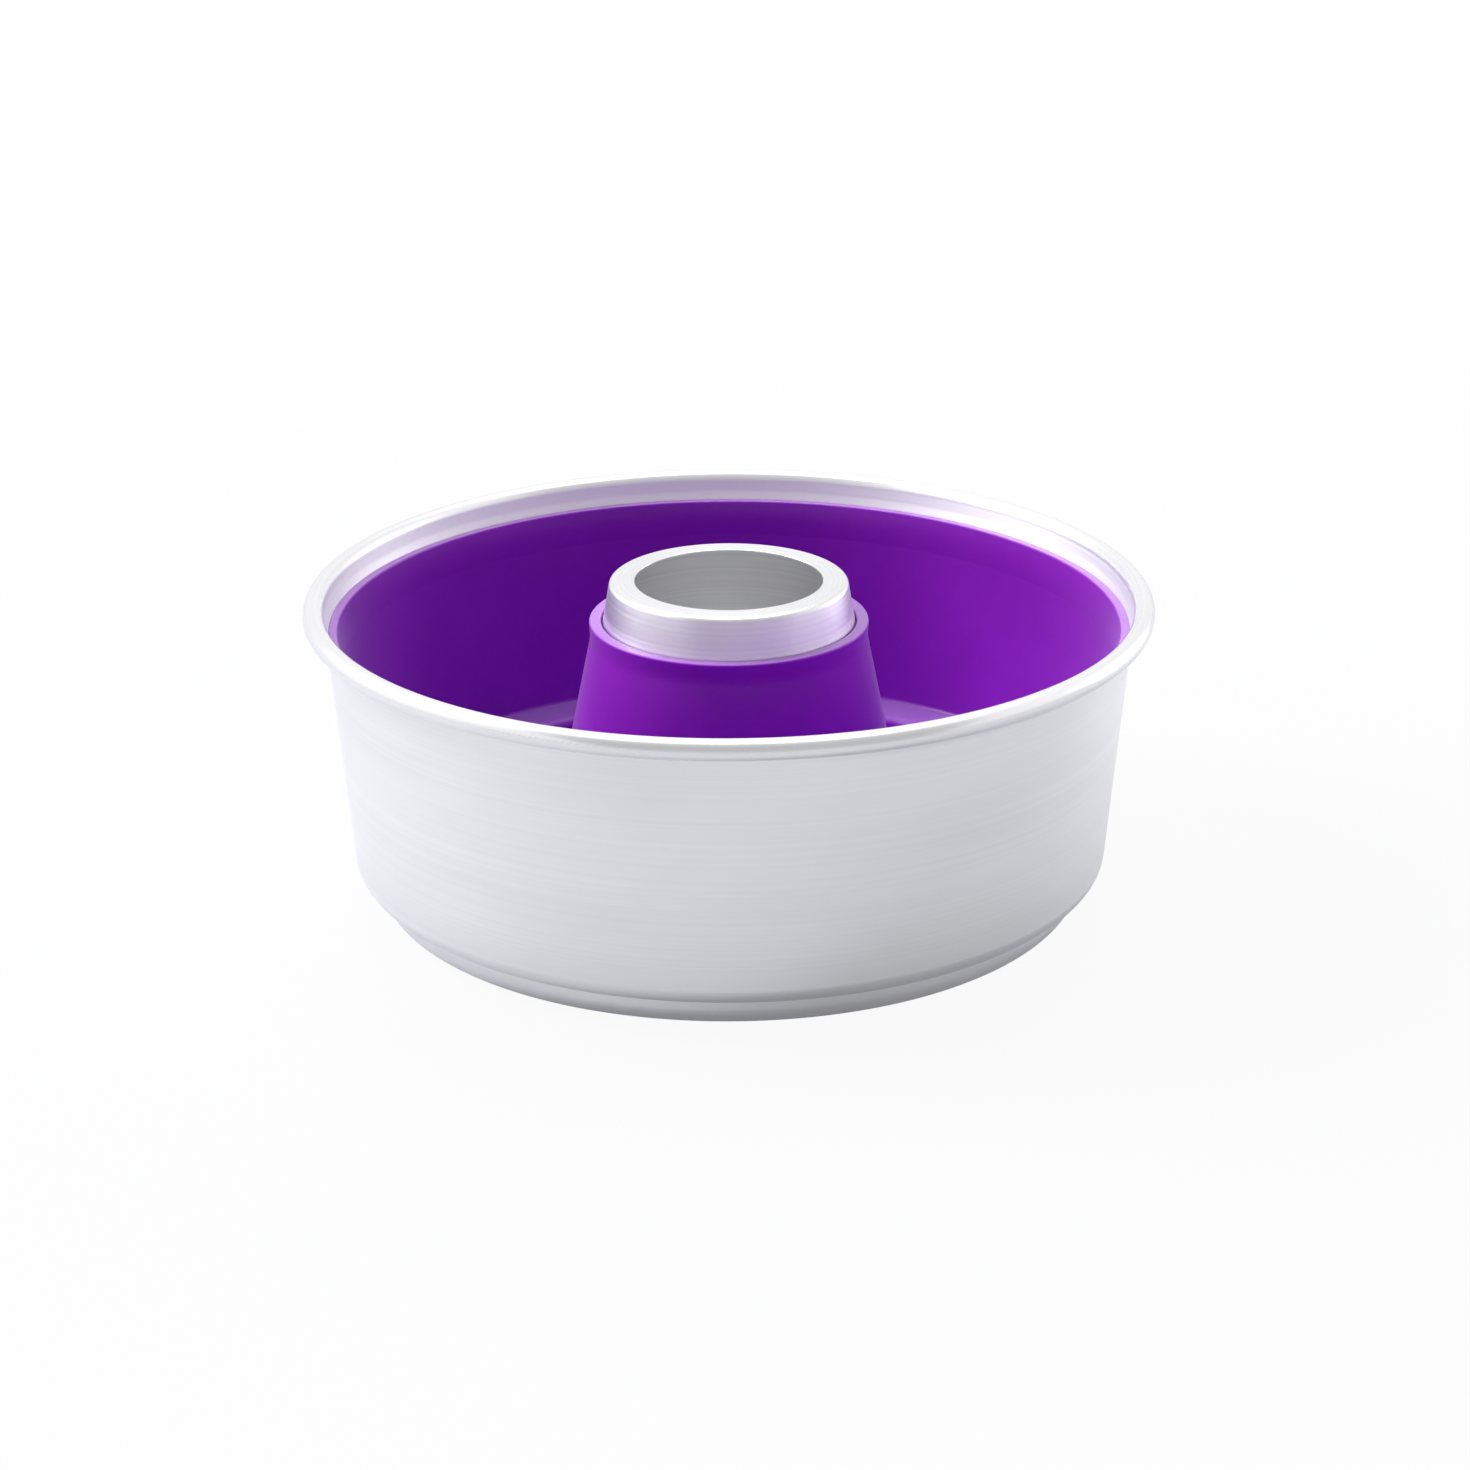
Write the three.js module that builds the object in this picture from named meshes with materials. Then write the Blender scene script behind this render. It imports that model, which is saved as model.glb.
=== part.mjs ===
// Ring mould set: a spun aluminium tube pan and the silicone ring mould that lifts out of it.
// Millimetres, +Z up. The origin is on the table, at the middle of the ring that the pan stands on.
// Every piece is turned from a profile of radius and height, so a corner is written [radius, height, bend].
import * as THREE from "three";

const { degToRad } = THREE.MathUtils;

// Pan
const RIM_DIAMETER = 220; // over the rolled rim
const RIM_HEIGHT = 81; // table to the top of the rolled rim
const SHEET = 0.8; // aluminium sheet of the pan and the tube
const BEAD_DIAMETER = 5.4; // outside of the rolled rim
const BEAD_ROLL = degToRad(300); // how far round the sheet's edge is rolled
const NECK_DROP = 5.4; // top of the rim to the top of the neck
const NECK_STEP = 1.35; // the wall stands this far inside the rolled rim
const NECK_FLARE = degToRad(12.5); // slope of the neck, from upright, where the mould's lip lies
const NECK_LOWER_BEND = 4;
const NECK_UPPER_BEND = 8;
const WALL_LEAN = degToRad(5.05); // the wall opens upwards
const CORNER_BEND = 4.7; // lower corner of the wall
const SHELF_FLAT = 0.3; // between the lower corner and the crease
const CREASE_BEND = 0.3;
const FOOT_HEIGHT = 7.6; // table to the crease
const FOOT_BEND = 4.1;
const REST_WIDTH = 5; // flat ring that the pan stands on
const PANEL_LIFT = 1.8; // the base panel stands this far above the table
const PANEL_SLOPE = degToRad(45);
const PANEL_BEND = 0.6;
const COLLAR_HEIGHT = 5; // turned-up edge of the hole in the base
const COLLAR_BEND = 0.7;

// Centre tube
const TUBE_RISE = 3.1; // the tube stands this far above the rim
const TUBE_TOP_DIAMETER = 61.8;
const TUBE_LEAN = degToRad(9.6); // the tube narrows upwards
const VENT_DIAMETER = 48.8; // hole in the tube's flat top
const SHOULDER_BEND = 1.6;
const FLANGE_WIDTH = 6; // foot flange under the base

// Silicone mould
const OUTER_LIP_DROP = 7.6; // the lip against the pan's neck lies this far below the rim
const INNER_LIP_DROP = 7.5; // and so does the lip round the tube
const MOULD_WALL = 2;
const OUTER_LIP_WIDTH = 2.25;
const OUTER_BAND = 9.6; // band under the outer lip, upright at its foot
const INNER_BAND = 4.2; // upright band under the inner lip
const INNER_BAND_BEND = 10; // from that band into the cone
const CONE_LEAN = degToRad(11.4);
const LEDGE_HEIGHT = 13.6; // trough floor to ledge
const LEDGE_WIDTH = 11.9;
const LEDGE_EDGE_BEND = 0.6;
const LEDGE_WALL_BEND = 1.5;
const RISER_LEAN = degToRad(6); // the step between trough and ledge opens upwards
const TROUGH_BEND = 4;
const LIP_ROUND = 0.5;

// Clearances between pieces
const SEAM_GAP = 0.3; // tube in the pan's collar, flange under the base
const SEAT_GAP = 0.3; // mould on the base panel
const WALL_GAP = 0.35; // mould inside the pan's wall
const TUBE_GAP = 0.4; // mould's inner lip round the tube

// Fineness of the turned surfaces
const SEGMENTS = 48;
const ARC_STEP = degToRad(30);
const LEAST_ARC_STEPS = 2;
const BAND_STEPS = 3;

// Heights and radii that follow from the sizes above
const beadRadius = BEAD_DIAMETER / 2;
const beadCentre = new THREE.Vector2(RIM_DIAMETER / 2 - beadRadius, RIM_HEIGHT - beadRadius);
const neckTop = new THREE.Vector2(beadCentre.x - beadRadius, RIM_HEIGHT - NECK_DROP);
const wallTop = new THREE.Vector2(neckTop.x - NECK_STEP, neckTop.y - NECK_STEP / Math.tan(NECK_FLARE));
const panelTop = PANEL_LIFT + SHEET;
const flangeTop = PANEL_LIFT - SEAM_GAP;
const tubeTop = RIM_HEIGHT + TUBE_RISE;
const outerLip = RIM_HEIGHT - OUTER_LIP_DROP;
const innerLip = RIM_HEIGHT - INNER_LIP_DROP;
const mouldBottom = panelTop + SEAT_GAP;
const ledgeUnder = mouldBottom + LEDGE_HEIGHT;

// Radii of the leaning faces at a height
const wallInside = (z) => wallTop.x - (wallTop.y - z) * Math.tan(WALL_LEAN);
const neckInside = (z) => neckTop.x - (neckTop.y - z) * Math.tan(NECK_FLARE);
const tubeOutside = (z) => TUBE_TOP_DIAMETER / 2 + (tubeTop - z) * Math.tan(TUBE_LEAN);
const collarOutside = (z) => tubeOutside(z) + (SEAM_GAP + SHEET) / Math.cos(TUBE_LEAN);
const mouldOutside = (z) => wallInside(z) - WALL_GAP / Math.cos(WALL_LEAN);
const coneInside = (z) => tubeOutside(innerLip) + TUBE_GAP + (innerLip - z) * Math.tan(CONE_LEAN);

// Signed angle that a profile turns through at a corner, left positive.
function turnAt(previous, corner, next) {
  const turn = next.clone().sub(corner).angle() - corner.clone().sub(previous).angle();
  return Math.atan2(Math.sin(turn), Math.cos(turn));
}

// The two faces of a sheet folded along corners [radius, height, inside bend]. The corners lie on the
// first face. The second is one thickness to its right, or to its left if the thickness is negative.
function foldSheet(corners, thickness) {
  const spots = corners.map(([r, z]) => new THREE.Vector2(r, z));
  const first = [];
  const second = [];
  corners.forEach(([r, z, bend = 0], i) => {
    const along = spots[Math.min(i + 1, spots.length - 1)].clone().sub(spots[Math.max(i - 1, 0)]);
    const ends = i === 0 || i === spots.length - 1;
    const turn = ends ? 0 : turnAt(spots[i - 1], spots[i], spots[i + 1]);
    const heading = ends ? along.angle() : spots[i].clone().sub(spots[i - 1]).angle() + turn / 2;
    const reach = thickness / Math.cos(turn / 2);
    const insideIsSecond = turn * thickness < 0;
    const outerBend = bend + Math.abs(thickness);
    first.push([r, z, insideIsSecond ? outerBend : bend]);
    second.push([
      r + reach * Math.sin(heading),
      z - reach * Math.cos(heading),
      insideIsSecond ? bend : outerBend,
    ]);
  });
  return { first, second };
}

// Points of a circular arc about a centre, from one angle through a signed sweep.
function arcPoints(centre, radius, from, sweep) {
  const arc = new THREE.EllipseCurve(centre.x, centre.y, radius, radius, from, from + sweep, sweep < 0);
  return arc.getPoints(Math.max(LEAST_ARC_STEPS, Math.round(Math.abs(sweep) / ARC_STEP)));
}

// Points along corners [radius, height, bend], with an arc of the bend's radius at each inner corner.
function roundCorners(corners) {
  const spots = corners.map(([r, z]) => new THREE.Vector2(r, z));
  return corners.flatMap(([, , bend = 0], i) => {
    if (!bend || i === 0 || i === spots.length - 1) return [spots[i]];
    const turn = turnAt(spots[i - 1], spots[i], spots[i + 1]);
    const heading = spots[i].clone().sub(spots[i - 1]).normalize();
    const start = spots[i].clone().addScaledVector(heading, -bend * Math.tan(Math.abs(turn) / 2));
    const left = new THREE.Vector2(-heading.y, heading.x);
    const centre = start.clone().addScaledVector(left, bend * Math.sign(turn));
    return arcPoints(centre, bend, start.clone().sub(centre).angle(), turn);
  });
}

// A closed profile turned about the Z axis, with its faces outwards.
function turnProfile(points) {
  const nearby = 1e-6;
  const loop = points.filter((p, i) => p.distanceTo(points[(i + 1) % points.length]) > nearby);
  if (THREE.ShapeUtils.isClockWise(loop)) loop.reverse();
  const geometry = new THREE.LatheGeometry([...loop, loop[0].clone()], SEGMENTS);
  return geometry.rotateX(Math.PI / 2);
}

// The pan: collar of the hole, raised base panel, foot, crease, lower corner, wall, neck, rolled rim.
function panShell() {
  const shelfTop = FOOT_HEIGHT + SHEET;
  const cornerReach = CORNER_BEND * Math.tan((Math.PI / 2 - WALL_LEAN) / 2);
  const shelfOuter = wallInside(shelfTop);
  const footInside = shelfOuter - cornerReach - SHELF_FLAT - (CREASE_BEND + SHEET);
  const restInner = footInside - FOOT_BEND - REST_WIDTH;
  const panelEdge = restInner - PANEL_LIFT / Math.tan(PANEL_SLOPE);
  const collarTop = panelTop + COLLAR_HEIGHT;
  const { first: inside, second: outside } = foldSheet(
    [
      [collarOutside(collarTop), collarTop],
      [collarOutside(panelTop), panelTop, COLLAR_BEND],
      [panelEdge, panelTop, PANEL_BEND],
      [restInner, SHEET, PANEL_BEND],
      [footInside, SHEET, FOOT_BEND],
      [footInside, shelfTop, CREASE_BEND],
      [shelfOuter, shelfTop, CORNER_BEND],
      [wallTop.x, wallTop.y, NECK_LOWER_BEND],
      [neckTop.x, neckTop.y, NECK_UPPER_BEND],
      [neckTop.x, beadCentre.y],
    ],
    SHEET,
  );
  return turnProfile([
    ...roundCorners(inside),
    ...arcPoints(beadCentre, beadRadius, Math.PI, -BEAD_ROLL),
    ...arcPoints(beadCentre, beadRadius - SHEET, Math.PI, -BEAD_ROLL).reverse(),
    ...roundCorners(outside).reverse(),
  ]);
}

// The tube: flat top round the vent hole, shoulder, leaning wall, and the flange under the base.
function centreTube() {
  const flangeInner = tubeOutside(flangeTop);
  const { first: outside, second: inside } = foldSheet(
    [
      [VENT_DIAMETER / 2, tubeTop],
      [TUBE_TOP_DIAMETER / 2, tubeTop, SHOULDER_BEND],
      [flangeInner, flangeTop, COLLAR_BEND + SHEET + SEAM_GAP],
      [flangeInner + FLANGE_WIDTH, flangeTop],
    ],
    SHEET,
  );
  return turnProfile([...roundCorners(outside), ...roundCorners(inside).reverse()]);
}

// The mould: a wall of even thickness from the inner lip, down the cone, over the trough and the ledge, and up
// to the outer lip, which lies against the pan's neck. Its seen face is upright in a band under the inner
// lip, and curves out to the outer lip.
function siliconeMould() {
  const ledgeOuter = mouldOutside(ledgeUnder);
  const ledgeInner = ledgeOuter - LEDGE_WIDTH;
  const { first: hidden, second: seen } = foldSheet(
    [
      [coneInside(innerLip), innerLip],
      [coneInside(mouldBottom), mouldBottom, TROUGH_BEND],
      [ledgeInner - LEDGE_HEIGHT * Math.tan(RISER_LEAN), mouldBottom, TROUGH_BEND],
      [ledgeInner, ledgeUnder, LEDGE_EDGE_BEND],
      [ledgeOuter, ledgeUnder, LEDGE_WALL_BEND],
      [mouldOutside(wallTop.y), wallTop.y],
    ],
    -MOULD_WALL,
  );
  const { second: onNeck } = foldSheet(
    [
      [wallInside(ledgeUnder), ledgeUnder],
      [wallTop.x, wallTop.y, NECK_LOWER_BEND + SHEET],
      [neckInside(outerLip), outerLip],
    ],
    -WALL_GAP,
  );
  const outerLipOutside = neckInside(outerLip) - WALL_GAP / Math.cos(NECK_FLARE);
  const outerLipInside = outerLipOutside - OUTER_LIP_WIDTH;
  const coneBandFoot = innerLip - INNER_BAND;
  const coneBand = coneInside(coneBandFoot) + MOULD_WALL / Math.cos(CONE_LEAN);
  const innerLipMiddle = [(coneInside(innerLip) + coneBand) / 2, innerLip];
  const wallBandFoot = outerLip - OUTER_BAND;
  const wallBand = mouldOutside(wallBandFoot) - MOULD_WALL / Math.cos(WALL_LEAN);
  const bandCurve = new THREE.QuadraticBezierCurve(
    new THREE.Vector2(outerLipInside, outerLip),
    new THREE.Vector2(wallBand, outerLip - OUTER_BAND / 2),
    new THREE.Vector2(wallBand, wallBandFoot),
  );
  const bandPoints = bandCurve.getPoints(BAND_STEPS).map(({ x, y }) => [x, y]);
  return turnProfile(
    roundCorners([
      innerLipMiddle,
      [coneInside(innerLip), innerLip, LIP_ROUND],
      ...hidden.slice(1, -1),
      ...onNeck.slice(1, -1),
      [outerLipOutside, outerLip, LIP_ROUND],
      [outerLipInside, outerLip, LIP_ROUND],
      ...bandPoints.slice(1),
      ...seen.slice(1, -1).reverse(),
      [coneBand, coneBandFoot, INNER_BAND_BEND],
      [coneBand, innerLip, LIP_ROUND],
      innerLipMiddle,
    ]),
  );
}

const satinAluminium = new THREE.MeshStandardMaterial({ color: 0xd8d9de, roughness: 0.38, metalness: 1 });
const turnedAluminium = new THREE.MeshStandardMaterial({ color: 0xdcdce2, roughness: 0.3, metalness: 1 });
const purpleSilicone = new THREE.MeshStandardMaterial({ color: 0x960ecc, roughness: 0.45, metalness: 0 });

const ringMouldSet = new THREE.Group();
for (const [name, geometry, material] of [
  ["pan_shell", panShell(), satinAluminium],
  ["centre_tube", centreTube(), turnedAluminium],
  ["silicone_mould", siliconeMould(), purpleSilicone],
]) {
  const piece = new THREE.Mesh(geometry, material);
  piece.name = name;
  ringMouldSet.add(piece);
}

export default ringMouldSet;
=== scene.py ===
"""Looks of the ring mould set: a spun aluminium tube pan and the silicone ring mould that lifts out of it.

Each piece is turned the way it is made: its section is drawn as a line of edges in the XZ plane, where X is
the radius, the corners of the line are rounded, and the line is spun about Z. Units are metres.
"""

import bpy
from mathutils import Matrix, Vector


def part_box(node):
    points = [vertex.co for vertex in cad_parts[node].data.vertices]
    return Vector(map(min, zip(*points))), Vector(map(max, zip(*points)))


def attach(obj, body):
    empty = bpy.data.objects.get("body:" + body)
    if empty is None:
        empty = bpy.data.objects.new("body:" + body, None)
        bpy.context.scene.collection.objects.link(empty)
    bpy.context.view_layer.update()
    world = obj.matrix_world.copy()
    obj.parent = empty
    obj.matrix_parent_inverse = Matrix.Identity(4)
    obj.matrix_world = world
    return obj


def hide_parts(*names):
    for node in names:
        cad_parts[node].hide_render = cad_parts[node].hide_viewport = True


bl_info = {
    "name": "Ring Mould Set",
    "version": (1, 0, 0),
    "blender": (4, 5, 0),
    "location": "3D View > Sidebar > Ring Mould",
    "description": "Turns the pan, the centre tube and the silicone mould, and sets the stage for them",
    "category": "Add Mesh",
}

import math

import bmesh
import bpy
from bpy.props import FloatProperty, FloatVectorProperty, PointerProperty
from mathutils import Matrix, Vector

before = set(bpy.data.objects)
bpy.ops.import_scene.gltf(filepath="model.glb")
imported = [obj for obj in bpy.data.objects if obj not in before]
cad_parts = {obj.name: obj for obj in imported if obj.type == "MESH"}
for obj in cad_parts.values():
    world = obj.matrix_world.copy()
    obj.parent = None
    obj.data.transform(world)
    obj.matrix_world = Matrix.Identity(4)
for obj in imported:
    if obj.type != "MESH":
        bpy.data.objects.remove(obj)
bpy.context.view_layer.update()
PAN_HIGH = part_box("pan_shell")[1]
TUBE_LOW, TUBE_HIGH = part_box("centre_tube")
MOULD_LOW, MOULD_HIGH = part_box("silicone_mould")

MM = 0.001

# How finely the sections are rounded, turned and shaded
ARC_STEP = math.radians(7.5)
SPIN_STEPS = 192
ROUND_PROFILE = 0.5
CUT_EDGE_STEPS = 3
CUT_EDGE_ANGLE = math.radians(60)
SMOOTH_ANGLE = math.radians(40)
SAME_PLACE = 0.002 * MM

# Between these two lie nearly all values of a noise texture
NOISE_LOW = 0.3
NOISE_HIGH = 0.7

# The stage. A lamp is a name, a place, the width of its square and its watts
WHITE = (1, 1, 1, 1)
FLOOR_SIDES = 96
SENSOR_WIDTH = 36
LAMP_TARGET = Vector((0, 0, 40 * MM))
LAMPS = (
    ("key_softbox", Vector((-1.85, 0.5, 1.5)), 1.1, 43),
    ("top_softbox", Vector((0, 0.85, 2.6)), 2.0, 34),
    ("side_softbox", Vector((1.2, 0.7, 0.3)), 0.6, 3.5),
)
GAUZE_PLACE = (0.2, -0.85, 0.85)
GAUZE_TURN = (math.radians(55), 0, math.radians(8.6))
GAUZE_SIZE = (2.6, 2.0, 1.0)
GAUZE_THREAD = "#38383C"
GAUZE_COVER = 0.46


def linear(hex_colour):
    """An sRGB hex colour as linear red, green and blue."""
    parts = [int(hex_colour[i:i + 2], 16) / 255 for i in (1, 3, 5)]
    return [c / 12.92 if c <= 0.04045 else ((c + 0.055) / 1.055) ** 2.4 for c in parts]


def length(name, description, default):
    """A length property, in metres."""
    return FloatProperty(name=name, description=description, default=default, unit="LENGTH", precision=5)


def angle(name, description, degrees):
    """An angle property, given in degrees."""
    return FloatProperty(name=name, description=description, default=math.radians(degrees), subtype="ANGLE")


def colour(name, description, hex_colour):
    """A colour property, given as an sRGB hex value."""
    return FloatVectorProperty(
        name=name, description=description, default=linear(hex_colour), subtype="COLOR", min=0, max=1
    )


# Sizes and colours that a user would change

class PanSizes(bpy.types.PropertyGroup):
    """The spun aluminium pan."""

    rim_diameter: length("Rim Diameter", "Over the rolled rim", 2 * PAN_HIGH.x)
    rim_height: length("Rim Height", "Table to the top of the rolled rim", PAN_HIGH.z)
    sheet: length("Sheet", "Thickness of the aluminium", 0.8 * MM)
    bead_diameter: length("Bead Diameter", "Outside of the rolled rim", 5.4 * MM)
    bead_roll: angle("Bead Roll", "How far round the sheet's edge is rolled", 300)
    neck_drop: length("Neck Drop", "Top of the rim to the top of the neck", 5.4 * MM)
    neck_step: length("Neck Step", "How far the neck opens from the wall", 0.665 * MM)
    neck_flare: angle("Neck Flare", "Slope of the neck, from upright, above the mould's lip", 16)
    rim_lean: angle("Rim Lean", "Slope of the sheet, from upright, where it runs into the rolled rim", 7)
    neck_lower_bend: length("Lower Neck Bend", "Between the wall and the neck", 4 * MM)
    neck_upper_bend: length("Upper Neck Bend", "Between the neck and the rolled rim", 8 * MM)
    wall_lean: angle("Wall Lean", "How far the wall opens upwards", 5.05)
    corner_bend: length("Corner Bend", "Lower corner of the wall", 4.7 * MM)
    shelf_flat: length("Shelf Flat", "Between the lower corner and the crease", 0.3 * MM)
    crease_bend: length("Crease Bend", "Between the shelf and the foot", 0.3 * MM)
    foot_height: length("Foot Height", "Table to the crease", 7.6 * MM)
    foot_bend: length("Foot Bend", "Between the foot and the ring that the pan stands on", 4.1 * MM)
    rest_width: length("Rest Width", "Flat ring that the pan stands on", 5 * MM)
    panel_lift: length("Panel Lift", "Height of the base panel above the table", 1.8 * MM)
    panel_slope: angle("Panel Slope", "Slope from the flat ring up to the base panel", 45)
    panel_bend: length("Panel Bend", "At both ends of that slope", 0.6 * MM)
    collar_height: length("Collar Height", "Turned-up edge of the hole in the base", 5 * MM)
    collar_bend: length("Collar Bend", "Between the base panel and the collar", 0.7 * MM)
    metal: colour("Metal", "Satin spun aluminium", "#F4F4F6")


class TubeSizes(bpy.types.PropertyGroup):
    """The spun aluminium centre tube."""

    top_height: length("Top Height", "Table to the tube's flat top", TUBE_HIGH.z)
    top_diameter: length("Top Diameter", "Tube at its flat top", 61.8 * MM)
    lean: angle("Lean", "How far the tube narrows upwards", 9.6)
    vent_diameter: length("Vent Diameter", "Hole in the flat top", 48.8 * MM)
    shoulder_bend: length("Shoulder Bend", "Between the flat top and the wall", 0.7 * MM)
    flange_diameter: length("Flange Diameter", "Foot flange under the base", 2 * TUBE_HIGH.x)
    flange_height: length("Flange Height", "Table to the underside of the flange", TUBE_LOW.z)
    seam_gap: length("Seam Gap", "Between the tube and the pan's collar", 0.3 * MM)
    edge_round: length("Edge Round", "Dulled edges of the cut sheet", 0.25 * MM)
    metal: colour("Metal", "Turned aluminium", "#F4F4F6")


class MouldSizes(bpy.types.PropertyGroup):
    """The silicone mould."""

    bottom: length("Bottom", "Table to the underside of the trough", MOULD_LOW.z)
    outer_lip: length("Outer Lip", "Table to the lip on the pan's neck", MOULD_HIGH.z - 0.1 * MM)
    inner_lip: length("Inner Lip", "Table to the lip round the tube", MOULD_HIGH.z)
    wall: length("Wall", "Thickness of the silicone", 2 * MM)
    outer_lip_width: length("Outer Lip Width", "Top of the outer lip", 2.15 * MM)
    outer_band: length("Outer Band", "Height of the band under the outer lip", 9.6 * MM)
    outer_band_bend: length("Outer Band Bend", "Curve of that band out to the lip", 22 * MM)
    inner_band: length("Inner Band", "Height of the band under the inner lip", 4.6 * MM)
    inner_band_undercut: length("Inner Band Undercut", "How far that band draws in below the lip", 0.3 * MM)
    inner_band_bend: length("Inner Band Bend", "From that band into the cone", 10 * MM)
    cone_lean: angle("Cone Lean", "How far the cone narrows upwards", 11.4)
    ledge_height: length("Ledge Height", "Trough floor to ledge", 13.6 * MM)
    ledge_width: length("Ledge Width", "From the ledge's edge to the wall", 11.9 * MM)
    ledge_edge_bend: length("Ledge Edge Bend", "Between the step and the ledge", 0.6 * MM)
    ledge_wall_bend: length("Ledge Wall Bend", "Between the ledge and the wall", 1.5 * MM)
    riser_lean: angle("Riser Lean", "How far the step opens upwards", 6)
    trough_bend: length("Trough Bend", "At both sides of the trough's floor", 4 * MM)
    lip_round: length("Lip Round", "Edges of both lips", 0.5 * MM)
    lip_crisp: length("Lip Crisp", "Edge of the outer lip against the pan", 0.15 * MM)
    band_edge: length("Band Edge", "Rounding at the foot of the outer band", 0.4 * MM)
    wall_gap: length("Wall Gap", "Between the mould and the pan's wall", 0.35 * MM)
    lip_gap: length("Lip Gap", "Between the outer lip and the pan's neck", 0.1 * MM)
    tube_gap: length("Tube Gap", "Between the inner lip and the tube", 0.4 * MM)
    silicone: colour("Silicone", "Pigmented silicone", "#9E20CA")
    # Painted sheen, partly a dust film: a pale colour mixed into what faces up, for the light that catches
    # upward faces
    dust_and_sheen: colour("Dust And Sheen", "Pale film on what faces up", "#CBA0EC")


class StageSettings(bpy.types.PropertyGroup):
    """The floor, the lamps and the camera."""

    camera_lens: FloatProperty(
        name="Lens", description="Focal length on a 36 mm sensor", default=92.21, unit="CAMERA"
    )
    camera_distance: length("Camera Distance", "From the camera to the point that it looks at", 990 * MM)
    camera_elevation: angle("Camera Elevation", "Above the horizon", 20.976)
    camera_roll: angle("Camera Roll", "About the line of sight", -0.206)
    camera_aim: FloatVectorProperty(
        name="Camera Aim",
        description="Point that the camera looks at",
        default=(1.474 * MM, 0, 40.88 * MM),
        unit="LENGTH",
        precision=5,
    )
    floor_radius: length("Floor Radius", "Round floor under the object", 4)
    floor_white: colour("Floor", "Matt white floor", "#D9DAE0")
    floor_glow: FloatProperty(
        name="Floor Glow", description="Share of plain white in the floor", default=0.93, min=0, max=1
    )
    floor_mirror_glow: FloatProperty(
        name="Mirrored Glow",
        description="The same share where metal reflects the open floor",
        default=0.28,
        min=0,
        max=1,
    )
    floor_contact_glow: FloatProperty(
        name="Contact Glow",
        description="The same share where metal reflects the floor against the foot",
        default=0.12,
        min=0,
        max=1,
    )
    contact_radius: length("Contact Radius", "Circle on the floor that the foot's side stands over", 92 * MM)
    contact_reach: length("Contact Reach", "How far from that circle the floor is darkest", 8 * MM)
    contact_fade: length("Contact Fade", "How far from that circle the floor is open again", 50 * MM)
    shadow_reach: length("Shadow Reach", "Radius of the floor that shows the whole shadow", 200 * MM)
    shadow_fade: length("Shadow Fade", "Radius where the floor is plain white, as behind it", 700 * MM)
    fill_light: FloatProperty(name="Fill", description="Light from all round", default=0.33, min=0)


# Section lines, drawn and turned with the mesh tools

def left_of(way):
    """The direction to the left of a way along a section line."""
    return Vector((-way.z, 0, way.x)).normalized()


def mitre(before, corner, after, thickness):
    """The corner of a wall's other face, one thickness to the left."""
    into_left = left_of(corner - before)
    bisector = (into_left + left_of(after - corner)).normalized()
    return corner + bisector * (thickness / bisector.dot(into_left))


def start_line(name, place):
    """A new object in edit mode that holds one vertex."""
    bpy.ops.object.select_all(action="DESELECT")
    bpy.ops.mesh.primitive_plane_add(size=MM, enter_editmode=True)
    bpy.context.object.name = name
    bpy.context.object.data.name = name
    bpy.ops.mesh.select_all(action="SELECT")
    bpy.ops.mesh.merge(type="CENTER")
    bpy.ops.transform.translate(value=place)
    return bpy.context.object


def extrude_line(corners):
    """Extrudes the selected vertex from the first corner to each of the others."""
    for here, there in zip(corners, corners[1:]):
        bpy.ops.mesh.extrude_region_move(TRANSFORM_OT_translate={"value": there - here})


def draw_line(name, line):
    """Draws a line of corners and bends as edges. Gives the object, the corners and the bends."""
    corners = [corner for corner, _ in line]
    bends = [bend for _, bend in line]
    obj = start_line(name, corners[0])
    extrude_line(corners)
    return obj, corners, bends


def select_places(obj, places):
    """Selects only the vertices that lie at the places."""
    bpy.ops.mesh.select_all(action="DESELECT")
    shape = bmesh.from_edit_mesh(obj.data)
    for place in places:
        vertex = min(shape.verts, key=lambda v: (v.co - place).length)
        if (vertex.co - place).length > SAME_PLACE:
            raise RuntimeError(f"{obj.name} has no corner at {tuple(place)}")
        vertex.select_set(True)
    shape.select_flush(True)
    bmesh.update_edit_mesh(obj.data)


def round_corners(obj, corners, bends):
    """Rounds each corner of the line that has a bend. A closed line repeats its first corner."""
    for before, corner, after, bend in zip(corners, corners[1:], corners[2:], bends[1:]):
        if bend:
            turn = (corner - before).angle(after - corner)
            select_places(obj, [corner])
            bpy.ops.mesh.bevel(
                affect="VERTICES",
                offset=bend * math.tan(turn / 2),
                segments=max(2, round(turn / ARC_STEP)),
                profile=ROUND_PROFILE,
                clamp_overlap=False,
            )


def turn_line(obj):
    """Spins the whole line about the Z axis and leaves edit mode."""
    bpy.ops.mesh.select_all(action="SELECT")
    bpy.ops.mesh.remove_doubles(threshold=SAME_PLACE)
    bpy.ops.mesh.spin(steps=SPIN_STEPS, angle=math.tau, center=(0, 0, 0), axis=(0, 0, 1))
    bpy.ops.mesh.select_all(action="SELECT")
    bpy.ops.mesh.remove_doubles(threshold=SAME_PLACE)
    bpy.ops.mesh.normals_make_consistent(inside=False)
    bpy.ops.object.mode_set(mode="OBJECT")


def face_up_at(obj, place):
    """Flips all faces if the one nearest to the place looks down."""
    nearest = min(obj.data.polygons, key=lambda p: (p.center - place).length)
    if nearest.normal.z < 0:
        bpy.ops.object.mode_set(mode="EDIT")
        bpy.ops.mesh.select_all(action="SELECT")
        bpy.ops.mesh.flip_normals()
        bpy.ops.object.mode_set(mode="OBJECT")


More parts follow.
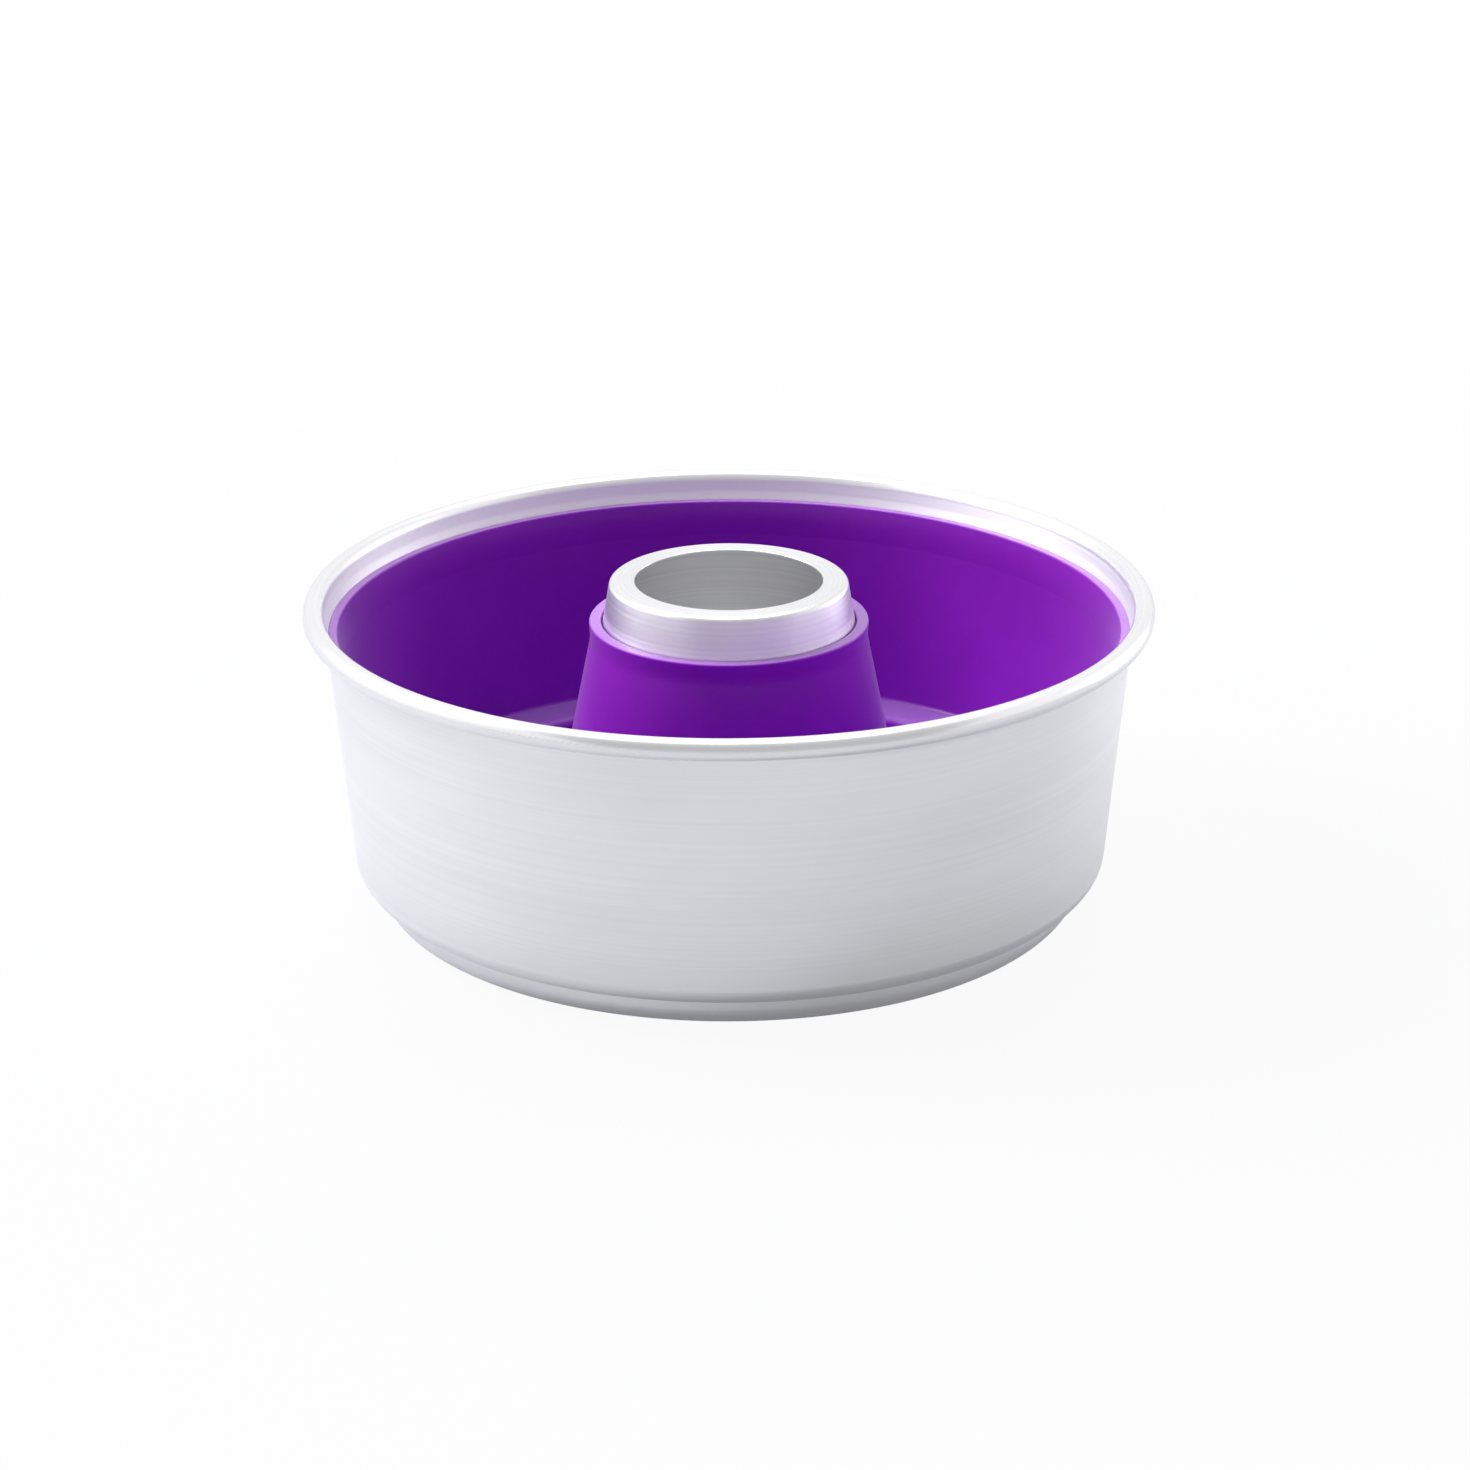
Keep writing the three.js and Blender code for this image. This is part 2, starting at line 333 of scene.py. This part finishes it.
def apply_modifier(obj, kind, **settings):
    """Adds a modifier, sets it and applies it."""
    bpy.ops.object.modifier_add(type=kind)
    modifier = obj.modifiers[-1]
    for key, value in settings.items():
        setattr(modifier, key, value)
    bpy.ops.object.modifier_apply(modifier=modifier.name)


def finish_piece(obj, material):
    """Smooth shading that keeps flat faces flat, the place in the mesh, and the material."""
    bpy.ops.object.transform_apply(location=True, rotation=True, scale=True)
    bpy.ops.object.shade_smooth_by_angle(angle=SMOOTH_ANGLE)
    apply_modifier(obj, "WEIGHTED_NORMAL", keep_sharp=True)
    obj.data.materials.clear()
    obj.data.materials.append(material)


# Heights and radii that the pieces share

def at(radius, height):
    """A point of a section."""
    return Vector((radius, 0, height))


def bead_centre(pan):
    """Middle of the rolled rim's section."""
    radius = pan.bead_diameter / 2
    return at(pan.rim_diameter / 2 - radius, pan.rim_height - radius)


def rim_start(pan):
    """Where the sheet runs into the rolled rim, on the inside face."""
    radius = pan.bead_diameter / 2
    return bead_centre(pan) + at(-radius * math.cos(pan.rim_lean), radius * math.sin(pan.rim_lean))


def neck_top(pan):
    """Corner between the neck and the sheet below the rolled rim, on the inside face."""
    start = rim_start(pan)
    height = pan.rim_height - pan.neck_drop
    return at(start.x - (start.z - height) * math.tan(pan.rim_lean), height)


def wall_top(pan):
    """Corner between the wall and the neck, on the inside face."""
    return neck_top(pan) - at(pan.neck_step, pan.neck_step / math.tan(pan.neck_flare))


def wall_inside(pan, height):
    """Inside radius of the pan's wall at a height."""
    top = wall_top(pan)
    return top.x - (top.z - height) * math.tan(pan.wall_lean)


def neck_inside(pan, height):
    """Inside radius of the pan's neck at a height."""
    top = neck_top(pan)
    return top.x - (top.z - height) * math.tan(pan.neck_flare)


def tube_outside(tube, height):
    """Outside radius of the tube at a height."""
    return tube.top_diameter / 2 + (tube.top_height - height) * math.tan(tube.lean)


# Materials

def add_node(tree, kind, inputs=None, **settings):
    """A new node with its settings, and its sockets set to values or linked to other sockets."""
    node = tree.nodes.new(kind)
    for key, value in settings.items():
        setattr(node, key, value)
    for key, value in (inputs or {}).items():
        if isinstance(value, bpy.types.NodeSocket):
            tree.links.new(value, node.inputs[key])
        else:
            node.inputs[key].default_value = value
    return node


def new_material(name):
    """An empty node material and its tree."""
    material = bpy.data.materials.new(name)
    material.use_nodes = True
    material.node_tree.nodes.clear()
    return material, material.node_tree


def turned_place(tree, pitch, streak):
    """Object coordinates drawn out round the Z axis, in streaks that lie a pitch apart along the section."""
    place = add_node(tree, "ShaderNodeTexCoord").outputs["Object"]
    split = add_node(tree, "ShaderNodeSeparateXYZ", {"Vector": place})
    flat = add_node(tree, "ShaderNodeCombineXYZ", {"X": split.outputs["X"], "Y": split.outputs["Y"]})
    radius = add_node(tree, "ShaderNodeVectorMath", {0: flat.outputs["Vector"]}, operation="LENGTH")
    along = add_node(
        tree, "ShaderNodeMath", {0: split.outputs["Z"], 1: radius.outputs["Value"]}, operation="ADD"
    )
    joined = add_node(
        tree,
        "ShaderNodeCombineXYZ",
        {"X": split.outputs["X"], "Y": split.outputs["Y"], "Z": along.outputs["Value"]},
    )
    return add_node(
        tree,
        "ShaderNodeVectorMath",
        {0: joined.outputs["Vector"], 1: (1 / streak, 1 / streak, 1 / pitch)},
        operation="MULTIPLY",
    ).outputs["Vector"]


def spun_aluminium(
    name,
    metal,
    ring_pitch,
    ring_depth,
    ring_shade,
    roughness,
    rolled_from,
    rolled_roughness,
    inside_roughness,
):
    """Spun aluminium: a lathe leaves fine rings, which draw highlights out across them and break their edges.
    From the height rolled_from up it was rolled smoother, so highlights there have a sharper edge, and a face
    that looks inwards can be rougher. Real rings lie about 0.1 mm apart, too fine to show, so ring_pitch is
    wider and the grain inside a ring comes from the anisotropy."""
    ring_streak = 250 * MM
    cloud_pitch = 25 * MM
    cloud_streak = 60 * MM
    cloud_shade = 0.05
    roughness_change = 0.04
    rolled_edge = 0.2 * MM
    inside_starts = -30 * MM
    inside_full = -90 * MM
    material, tree = new_material(name)
    fine = add_node(
        tree,
        "ShaderNodeTexNoise",
        {"Vector": turned_place(tree, ring_pitch, ring_streak), "Scale": 1, "Detail": 3, "Roughness": 0.6},
    )
    broad = add_node(
        tree,
        "ShaderNodeTexNoise",
        {"Vector": turned_place(tree, cloud_pitch, cloud_streak), "Scale": 1, "Detail": 2, "Roughness": 0.5},
    )
    satin = add_node(
        tree,
        "ShaderNodeMapRange",
        {
            "Value": fine.outputs["Fac"],
            "From Min": NOISE_LOW,
            "From Max": NOISE_HIGH,
            "To Min": roughness - roughness_change,
            "To Max": roughness + roughness_change,
        },
    )
    place = add_node(tree, "ShaderNodeTexCoord").outputs["Object"]
    height = add_node(tree, "ShaderNodeSeparateXYZ", {"Vector": place})
    rolled = add_node(
        tree,
        "ShaderNodeMapRange",
        {
            "Value": height.outputs["Z"],
            "From Min": rolled_from - rolled_edge,
            "From Max": rolled_from + rolled_edge,
            "To Min": 0.0,
            "To Max": rolled_roughness - roughness,
        },
    )
    # A normal that points back to the axis makes this product negative
    outward = add_node(
        tree,
        "ShaderNodeVectorMath",
        {0: add_node(tree, "ShaderNodeNewGeometry").outputs["Normal"], 1: place},
        operation="DOT_PRODUCT",
    )
    inner = add_node(
        tree,
        "ShaderNodeMapRange",
        {
            "Value": outward.outputs["Value"],
            "From Min": inside_starts,
            "From Max": inside_full,
            "To Min": 0.0,
            "To Max": inside_roughness - roughness,
        },
    )
    outer_finish = add_node(
        tree,
        "ShaderNodeMath",
        {0: satin.outputs["Result"], 1: rolled.outputs["Result"]},
        operation="ADD",
    )
    finish = add_node(
        tree,
        "ShaderNodeMath",
        {0: outer_finish.outputs["Value"], 1: inner.outputs["Result"]},
        operation="ADD",
    )
    shade = add_node(
        tree,
        "ShaderNodeMapRange",
        {
            "Value": broad.outputs["Fac"],
            "From Min": NOISE_LOW,
            "From Max": NOISE_HIGH,
            "To Min": 1 - cloud_shade,
            "To Max": 1.0,
        },
    )
    lines = add_node(
        tree,
        "ShaderNodeMapRange",
        {
            "Value": fine.outputs["Fac"],
            "From Min": NOISE_LOW,
            "From Max": NOISE_HIGH,
            "To Min": 1 - ring_shade,
            "To Max": 1.0,
        },
    )
    both = add_node(
        tree,
        "ShaderNodeMath",
        {0: shade.outputs["Result"], 1: lines.outputs["Result"]},
        operation="MULTIPLY",
    )
    tint = add_node(
        tree,
        "ShaderNodeVectorMath",
        {0: tuple(metal), "Scale": both.outputs["Value"]},
        operation="SCALE",
    )
    rings = add_node(
        tree,
        "ShaderNodeBump",
        {"Height": fine.outputs["Fac"], "Strength": 1.0, "Distance": ring_depth},
    )
    round_axis = add_node(tree, "ShaderNodeTangent", direction_type="RADIAL", axis="Z")
    shader = add_node(
        tree,
        "ShaderNodeBsdfPrincipled",
        {
            "Base Color": tint.outputs["Vector"],
            "Metallic": 1.0,
            "Roughness": finish.outputs["Value"],
            "Anisotropic": 0.5,
            "Anisotropic Rotation": 0.25,
            "Tangent": round_axis.outputs["Tangent"],
            "Normal": rings.outputs["Normal"],
        },
    )
    add_node(tree, "ShaderNodeOutputMaterial", {"Surface": shader.outputs["BSDF"]})
    return material


def moulded_silicone(name, silicone, dust_and_sheen, trough, ledge):
    """Moulded silicone: soft gloss over deep colour, thin edges that light goes through, and a pale colour
    mixed into what faces up, partly a film of dust and partly painted sheen where light catches upward faces,
    thin at the height of the trough's floor and full from the ledge up to the lips.
    The grain of the mould's skin is finer than a tenth of a millimetre, so it is drawn coarser to show."""
    cloud_size = 35 * MM
    grain_size = 0.8 * MM
    grain_depth = 0.02 * MM
    facing_starts = 0.6
    facing_full = 0.98
    dust_and_sheen_most = 0.56
    dust_and_sheen_thinnest_patch = 0.8
    trough_share = 0.3
    darkest_shade = 0.92
    lightest_shade = 1.05
    least_roughness = 0.3
    most_roughness = 0.36
    material, tree = new_material(name)
    place = add_node(tree, "ShaderNodeTexCoord").outputs["Object"]
    cloud = add_node(
        tree,
        "ShaderNodeTexNoise",
        {"Vector": place, "Scale": 1 / cloud_size, "Detail": 3, "Roughness": 0.55},
    )
    grain = add_node(
        tree,
        "ShaderNodeTexNoise",
        {"Vector": place, "Scale": 1 / grain_size, "Detail": 2, "Roughness": 0.6},
    )
    shade = add_node(
        tree,
        "ShaderNodeMapRange",
        {
            "Value": cloud.outputs["Fac"],
            "From Min": NOISE_LOW,
            "From Max": NOISE_HIGH,
            "To Min": darkest_shade,
            "To Max": lightest_shade,
        },
    )
    tint = add_node(
        tree,
        "ShaderNodeVectorMath",
        {0: tuple(silicone), "Scale": shade.outputs["Result"]},
        operation="SCALE",
    )
    # Painted sheen, partly a dust film: what faces up is mixed towards the pale colour, standing in for the
    # light that catches it
    facing = add_node(
        tree,
        "ShaderNodeSeparateXYZ",
        {"Vector": add_node(tree, "ShaderNodeNewGeometry").outputs["Normal"]},
    )
    facing_dust_and_sheen = add_node(
        tree,
        "ShaderNodeMapRange",
        {
            "Value": facing.outputs["Z"],
            "From Min": facing_starts,
            "From Max": facing_full,
            "To Min": 0.0,
            "To Max": dust_and_sheen_most,
        },
    )
    height = add_node(tree, "ShaderNodeSeparateXYZ", {"Vector": place})
    height_share = add_node(
        tree,
        "ShaderNodeMapRange",
        {
            "Value": height.outputs["Z"],
            "From Min": trough,
            "From Max": ledge,
            "To Min": trough_share,
            "To Max": 1.0,
        },
    )
    patchy = add_node(
        tree,
        "ShaderNodeMapRange",
        {
            "Value": cloud.outputs["Fac"],
            "From Min": NOISE_LOW,
            "From Max": NOISE_HIGH,
            "To Min": dust_and_sheen_thinnest_patch,
            "To Max": 1.0,
        },
    )
    cover = add_node(
        tree,
        "ShaderNodeMath",
        {0: facing_dust_and_sheen.outputs["Result"], 1: patchy.outputs["Result"]},
        operation="MULTIPLY",
    )
    dust_and_sheen_share = add_node(
        tree,
        "ShaderNodeMath",
        {0: cover.outputs["Value"], 1: height_share.outputs["Result"]},
        operation="MULTIPLY",
    )
    # In a colour Mix node, socket 0 is the share, 6 and 7 are the colours, and output 2 is the colour
    dust_and_sheen_colour = add_node(
        tree,
        "ShaderNodeMix",
        {0: dust_and_sheen_share.outputs["Value"], 6: tint.outputs["Vector"], 7: (*dust_and_sheen, 1)},
        data_type="RGBA",
    )
    gloss = add_node(
        tree,
        "ShaderNodeMapRange",
        {
            "Value": cloud.outputs["Fac"],
            "From Min": NOISE_LOW,
            "From Max": NOISE_HIGH,
            "To Min": least_roughness,
            "To Max": most_roughness,
        },
    )
    skin = add_node(
        tree,
        "ShaderNodeBump",
        {"Height": grain.outputs["Fac"], "Strength": 0.3, "Distance": grain_depth},
    )
    shader = add_node(
        tree,
        "ShaderNodeBsdfPrincipled",
        {
            "Base Color": dust_and_sheen_colour.outputs[2],
            "Roughness": gloss.outputs["Result"],
            "IOR": 1.41,
            "Specular IOR Level": 0.5,
            "Subsurface Weight": 0.6,
            "Subsurface Radius": (1.0, 0.2, 1.3),
            "Subsurface Scale": 2.5 * MM,
            "Sheen Weight": 0.3,
            "Sheen Roughness": 0.36,
            "Normal": skin.outputs["Normal"],
        },
    )
    add_node(tree, "ShaderNodeOutputMaterial", {"Surface": shader.outputs["BSDF"]})
    return material


def seen_share(tree, direct, mirrored):
    """One share where the camera sees the surface, another where a reflection or a clear piece shows it."""
    path = add_node(tree, "ShaderNodeLightPath")
    through = add_node(
        tree,
        "ShaderNodeMath",
        {0: path.outputs["Is Glossy Ray"], 1: path.outputs["Is Transmission Ray"]},
        operation="MAXIMUM",
    )
    mirror = add_node(
        tree, "ShaderNodeMath", {0: through.outputs["Value"], 1: mirrored}, operation="MULTIPLY"
    )
    straight = add_node(
        tree, "ShaderNodeMath", {0: path.outputs["Is Camera Ray"], 1: direct}, operation="MULTIPLY"
    )
    return add_node(
        tree,
        "ShaderNodeMath",
        {0: straight.outputs["Value"], 1: mirror.outputs["Value"]},
        operation="MAXIMUM",
    ).outputs["Value"]


def matt_white_floor(stage):
    """Matt white board: plain white to the eye, with a soft shadow round the object that fades out. Metal
    shows it greyer, and darkest against the foot."""
    material, tree = new_material("matt_white_board")
    place = add_node(tree, "ShaderNodeTexCoord").outputs["Object"]
    radius = add_node(tree, "ShaderNodeVectorMath", {0: place}, operation="LENGTH")
    seen = add_node(
        tree,
        "ShaderNodeMapRange",
        {
            "Value": radius.outputs["Value"],
            "From Min": stage.shadow_reach,
            "From Max": stage.shadow_fade,
            "To Min": stage.floor_glow,
            "To Max": 1.0,
        },
    )
    past_foot = add_node(
        tree,
        "ShaderNodeMath",
        {0: radius.outputs["Value"], 1: stage.contact_radius},
        operation="SUBTRACT",
    )
    from_foot = add_node(tree, "ShaderNodeMath", {0: past_foot.outputs["Value"]}, operation="ABSOLUTE")
    mirrored = add_node(
        tree,
        "ShaderNodeMapRange",
        {
            "Value": from_foot.outputs["Value"],
            "From Min": stage.contact_reach,
            "From Max": stage.contact_fade,
            "To Min": stage.floor_contact_glow,
            "To Max": stage.floor_mirror_glow,
        },
    )
    share = seen_share(tree, seen.outputs["Result"], mirrored.outputs["Result"])
    board = add_node(tree, "ShaderNodeBsdfDiffuse", {"Color": (*stage.floor_white, 1)})
    white = add_node(tree, "ShaderNodeEmission", {"Color": WHITE, "Strength": 1.0})
    both = add_node(
        tree,
        "ShaderNodeMixShader",
        {0: share, 1: board.outputs["BSDF"], 2: white.outputs["Emission"]},
    )
    add_node(tree, "ShaderNodeOutputMaterial", {"Surface": both.outputs["Shader"]})
    return material


def dark_gauze():
    """Dark gauze: it dims what the metal reflects on the camera's side, as a darker room does."""
    material, tree = new_material("dark_gauze")
    thread = add_node(tree, "ShaderNodeBsdfDiffuse", {"Color": (*linear(GAUZE_THREAD), 1)})
    gap = add_node(tree, "ShaderNodeBsdfTransparent")
    cloth = add_node(
        tree,
        "ShaderNodeMixShader",
        {0: GAUZE_COVER, 1: gap.outputs["BSDF"], 2: thread.outputs["BSDF"]},
    )
    add_node(tree, "ShaderNodeOutputMaterial", {"Surface": cloth.outputs["Shader"]})
    return material


# Operators, one for each piece and one for the stage

class RINGMOULD_OT_pan_shell(bpy.types.Operator):
    """Turns the pan from the collar of its base to its rolled rim"""

    bl_idname = "ringmould.pan_shell"
    bl_label = "Pan Shell"

    def execute(self, context):
        pan = context.scene.ringmould_pan
        tube = context.scene.ringmould_tube
        sheet = pan.sheet
        panel_top = pan.panel_lift + sheet
        collar_top = panel_top + pan.collar_height
        seam = (tube.seam_gap + sheet) / math.cos(tube.lean)
        shelf_top = pan.foot_height + sheet
        shelf_outer = wall_inside(pan, shelf_top)
        corner_reach = pan.corner_bend * math.tan((math.pi / 2 - pan.wall_lean) / 2)
        foot_inside = shelf_outer - corner_reach - pan.shelf_flat - (pan.crease_bend + sheet)
        rest_inner = foot_inside - pan.foot_bend - pan.rest_width
        panel_edge = rest_inner - pan.panel_lift / math.tan(pan.panel_slope)
        centre = bead_centre(pan)
        line = (
            (at(tube_outside(tube, collar_top) + seam, collar_top), 0),
            (at(tube_outside(tube, panel_top) + seam, panel_top), pan.collar_bend),
            (at(panel_edge, panel_top), pan.panel_bend + sheet),
            (at(rest_inner, sheet), pan.panel_bend),
            (at(foot_inside, sheet), pan.foot_bend),
            (at(foot_inside, shelf_top), pan.crease_bend + sheet),
            (at(shelf_outer, shelf_top), pan.corner_bend),
            (wall_top(pan), pan.neck_lower_bend + sheet),
            (neck_top(pan), pan.neck_upper_bend),
            (rim_start(pan), 0),
        )
        obj, corners, bends = draw_line("spun_pan_shell", line)
        roll = pan.bead_roll - pan.rim_lean
        bpy.ops.mesh.spin(steps=round(roll / ARC_STEP), angle=-roll, center=centre, axis=(0, 1, 0))
        round_corners(obj, corners, bends)
        turn_line(obj)
        face_up_at(obj, at((panel_edge + tube_outside(tube, panel_top)) / 2, panel_top))
        apply_modifier(obj, "SOLIDIFY", thickness=sheet, offset=-1, use_even_offset=True)
        finish_piece(
            obj,
            spun_aluminium(
                "satin_spun_aluminium",
                pan.metal,
                ring_pitch=0.7 * MM,
                ring_depth=0.004 * MM,
                ring_shade=0.045,
                roughness=0.4,
                rolled_from=centre.z,
                rolled_roughness=0.28,
                inside_roughness=0.6,
            ),
        )
        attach(obj, "pan")
        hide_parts("pan_shell")
        return {"FINISHED"}


class RINGMOULD_OT_centre_tube(bpy.types.Operator):
    """Turns the tube from its vent hole to its foot flange"""

    bl_idname = "ringmould.centre_tube"
    bl_label = "Centre Tube"

    def execute(self, context):
        pan = context.scene.ringmould_pan
        tube = context.scene.ringmould_tube
        flange_top = tube.flange_height + pan.sheet
        rolled_depth = 0.3 * MM
        line = (
            (at(tube.vent_diameter / 2, tube.top_height), 0),
            (at(tube.top_diameter / 2, tube.top_height), tube.shoulder_bend + pan.sheet),
            (at(tube_outside(tube, flange_top), flange_top), pan.collar_bend + pan.sheet + tube.seam_gap),
            (at(tube.flange_diameter / 2, flange_top), 0),
        )
        obj, corners, bends = draw_line("turned_centre_tube", line)
        round_corners(obj, corners, bends)
        turn_line(obj)
        face_up_at(obj, (corners[0] + corners[1]) / 2)
        apply_modifier(obj, "SOLIDIFY", thickness=pan.sheet, offset=-1, use_even_offset=True)
        apply_modifier(
            obj, "BEVEL", width=tube.edge_round, segments=CUT_EDGE_STEPS, angle_limit=CUT_EDGE_ANGLE
        )
        finish_piece(
            obj,
            spun_aluminium(
                "turned_aluminium",
                tube.metal,
                ring_pitch=0.6 * MM,
                ring_depth=0.012 * MM,
                ring_shade=0.12,
                roughness=0.4,
                rolled_from=tube.top_height - rolled_depth,
                rolled_roughness=0.28,
                inside_roughness=0.4,
            ),
        )
        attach(obj, "pan")
        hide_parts("centre_tube")
        return {"FINISHED"}


class RINGMOULD_OT_silicone_mould(bpy.types.Operator):
    """Turns the silicone mould: cone, trough, ledge, wall and both lips"""

    bl_idname = "ringmould.silicone_mould"
    bl_label = "Silicone Mould"

    def execute(self, context):
        pan = context.scene.ringmould_pan
        tube = context.scene.ringmould_tube
        mould = context.scene.ringmould_mould
        wall = mould.wall

        def cone_inside(height):
            foot = (mould.inner_lip - height) * math.tan(mould.cone_lean)
            return tube_outside(tube, mould.inner_lip) + mould.tube_gap + foot

        def mould_outside(height):
            return wall_inside(pan, height) - mould.wall_gap / math.cos(pan.wall_lean)

        ledge_under = mould.bottom + mould.ledge_height
        ledge_outer = mould_outside(ledge_under)
        ledge_inner = ledge_outer - mould.ledge_width
        riser_foot = ledge_inner - mould.ledge_height * math.tan(mould.riser_lean)
        hidden = [
            at(cone_inside(mould.inner_lip), mould.inner_lip),
            at(cone_inside(mould.bottom), mould.bottom),
            at(riser_foot, mould.bottom),
            at(ledge_inner, ledge_under),
            at(ledge_outer, ledge_under),
            at(mould_outside(wall_top(pan).z), wall_top(pan).z),
        ]
        seen = [mitre(*three, wall) for three in zip(hidden, hidden[1:], hidden[2:])]
        lip_outside = at(neck_inside(pan, mould.outer_lip) - mould.lip_gap, mould.outer_lip)
        lip_inside = lip_outside - at(mould.outer_lip_width, 0)
        band_foot = mould.outer_lip - mould.outer_band
        band = mould_outside(band_foot) - wall / math.cos(pan.wall_lean)
        cone_band_foot = mould.inner_lip - mould.inner_band
        cone_band = cone_inside(cone_band_foot) + wall / math.cos(mould.cone_lean)
        inner_lip_edge = cone_band + mould.inner_band_undercut
        line = (
            (at((hidden[0].x + inner_lip_edge) / 2, mould.inner_lip), 0),
            (hidden[0], mould.lip_round),
            (hidden[1], mould.trough_bend + wall),
            (hidden[2], mould.trough_bend + wall),
            (hidden[3], mould.ledge_edge_bend),
            (hidden[4], mould.ledge_wall_bend + wall),
            (lip_outside, mould.lip_crisp),
            (lip_inside, mould.lip_round),
            (at(band, mould.outer_lip - mould.outer_band / 2), mould.outer_band_bend),
            (at(band, band_foot), mould.band_edge),
            (seen[3], mould.ledge_wall_bend),
            (seen[2], mould.ledge_edge_bend + wall),
            (seen[1], mould.trough_bend),
            (seen[0], mould.trough_bend),
            (at(cone_band, cone_band_foot), mould.inner_band_bend),
            (at(inner_lip_edge, mould.inner_lip), mould.lip_round),
        )
        obj, corners, bends = draw_line("moulded_silicone_ring", line)
        select_places(obj, [corners[-1], corners[0]])
        bpy.ops.mesh.edge_face_add()
        round_corners(obj, [*corners, corners[0]], [*bends, 0])
        turn_line(obj)
        finish_piece(
            obj,
            moulded_silicone(
                "moulded_silicone",
                mould.silicone,
                mould.dust_and_sheen,
                trough=mould.bottom + wall,
                ledge=ledge_under + wall,
            ),
        )
        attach(obj, "mould")
        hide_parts("silicone_mould")
        return {"FINISHED"}


class RINGMOULD_OT_stage(bpy.types.Operator):
    """Sets the white floor, the soft lamps and the camera"""

    bl_idname = "ringmould.stage"
    bl_label = "Stage"

    def execute(self, context):
        stage = context.scene.ringmould_stage
        bpy.ops.object.select_all(action="DESELECT")
        bpy.ops.mesh.primitive_circle_add(
            vertices=FLOOR_SIDES, radius=stage.floor_radius, fill_type="NGON"
        )
        floor = context.object
        floor.name = "floor"
        floor.data.materials.append(matt_white_floor(stage))

        bpy.ops.mesh.primitive_plane_add(size=1, location=GAUZE_PLACE, rotation=GAUZE_TURN)
        gauze = context.object
        gauze.name = "dark_gauze"
        gauze.scale = GAUZE_SIZE
        gauze.visible_camera = False
        gauze.data.materials.append(dark_gauze())

        for name, place, width, watts in LAMPS:
            bpy.ops.object.light_add(type="AREA", location=place)
            lamp = context.object
            lamp.name = name
            lamp.data.size = width
            lamp.data.energy = watts
            lamp.rotation_euler = (LAMP_TARGET - place).to_track_quat("-Z", "Y").to_euler()

        world = bpy.data.worlds.new("white_surround")
        world.use_nodes = True
        tree = world.node_tree
        tree.nodes.clear()
        fill = add_node(tree, "ShaderNodeBackground", {"Color": WHITE, "Strength": stage.fill_light})
        white = add_node(tree, "ShaderNodeBackground", {"Color": WHITE, "Strength": 1.0})
        both = add_node(
            tree,
            "ShaderNodeMixShader",
            {0: seen_share(tree, 1.0, 1.0), 1: fill.outputs["Background"], 2: white.outputs["Background"]},
        )
        add_node(tree, "ShaderNodeOutputWorld", {"Surface": both.outputs["Shader"]})
        context.scene.world = world

        back = Vector((0, -math.cos(stage.camera_elevation), math.sin(stage.camera_elevation)))
        right = Vector((1, 0, 0))
        level = Matrix((right, back.cross(right), back)).transposed()
        bpy.ops.object.camera_add()
        camera = context.object
        camera.name = "camera"
        camera.data.lens = stage.camera_lens
        camera.data.sensor_width = SENSOR_WIDTH
        camera.data.dof.use_dof = False
        turn = level @ Matrix.Rotation(stage.camera_roll, 3, "Z")
        place = Vector(stage.camera_aim) + back * stage.camera_distance
        camera.matrix_world = Matrix.Translation(place) @ turn.to_4x4()
        context.scene.camera = camera
        context.scene.view_settings.view_transform = "Standard"
        return {"FINISHED"}


class RINGMOULD_PT_panel(bpy.types.Panel):
    """Sizes, colours and the steps that make the set"""

    bl_idname = "RINGMOULD_PT_panel"
    bl_label = "Ring Mould Set"
    bl_space_type = "VIEW_3D"
    bl_region_type = "UI"
    bl_category = "Ring Mould"

    def draw(self, context):
        for operator, group in STEPS:
            box = self.layout.box()
            box.operator(operator)
            settings = getattr(context.scene, group)
            for key in settings.bl_rna.properties.keys():
                if key not in ("rna_type", "name"):
                    box.prop(settings, key)


GROUPS = {
    "ringmould_pan": PanSizes,
    "ringmould_tube": TubeSizes,
    "ringmould_mould": MouldSizes,
    "ringmould_stage": StageSettings,
}
STEPS = (
    ("ringmould.stage", "ringmould_stage"),
    ("ringmould.pan_shell", "ringmould_pan"),
    ("ringmould.centre_tube", "ringmould_tube"),
    ("ringmould.silicone_mould", "ringmould_mould"),
)
CLASSES = (
    *GROUPS.values(),
    RINGMOULD_OT_pan_shell,
    RINGMOULD_OT_centre_tube,
    RINGMOULD_OT_silicone_mould,
    RINGMOULD_OT_stage,
    RINGMOULD_PT_panel,
)


def register():
    """Registers the classes and gives the scene its settings."""
    for cls in CLASSES:
        bpy.utils.register_class(cls)
    for name, group in GROUPS.items():
        setattr(bpy.types.Scene, name, PointerProperty(type=group))


def unregister():
    """Takes back what register did."""
    for name in GROUPS:
        delattr(bpy.types.Scene, name)
    for cls in reversed(CLASSES):
        bpy.utils.unregister_class(cls)


def main():
    """Makes the stage and the pieces."""
    register()
    bpy.ops.ringmould.stage()
    bpy.ops.ringmould.pan_shell()
    bpy.ops.ringmould.centre_tube()
    bpy.ops.ringmould.silicone_mould()


if __name__ == "__main__":
    main()
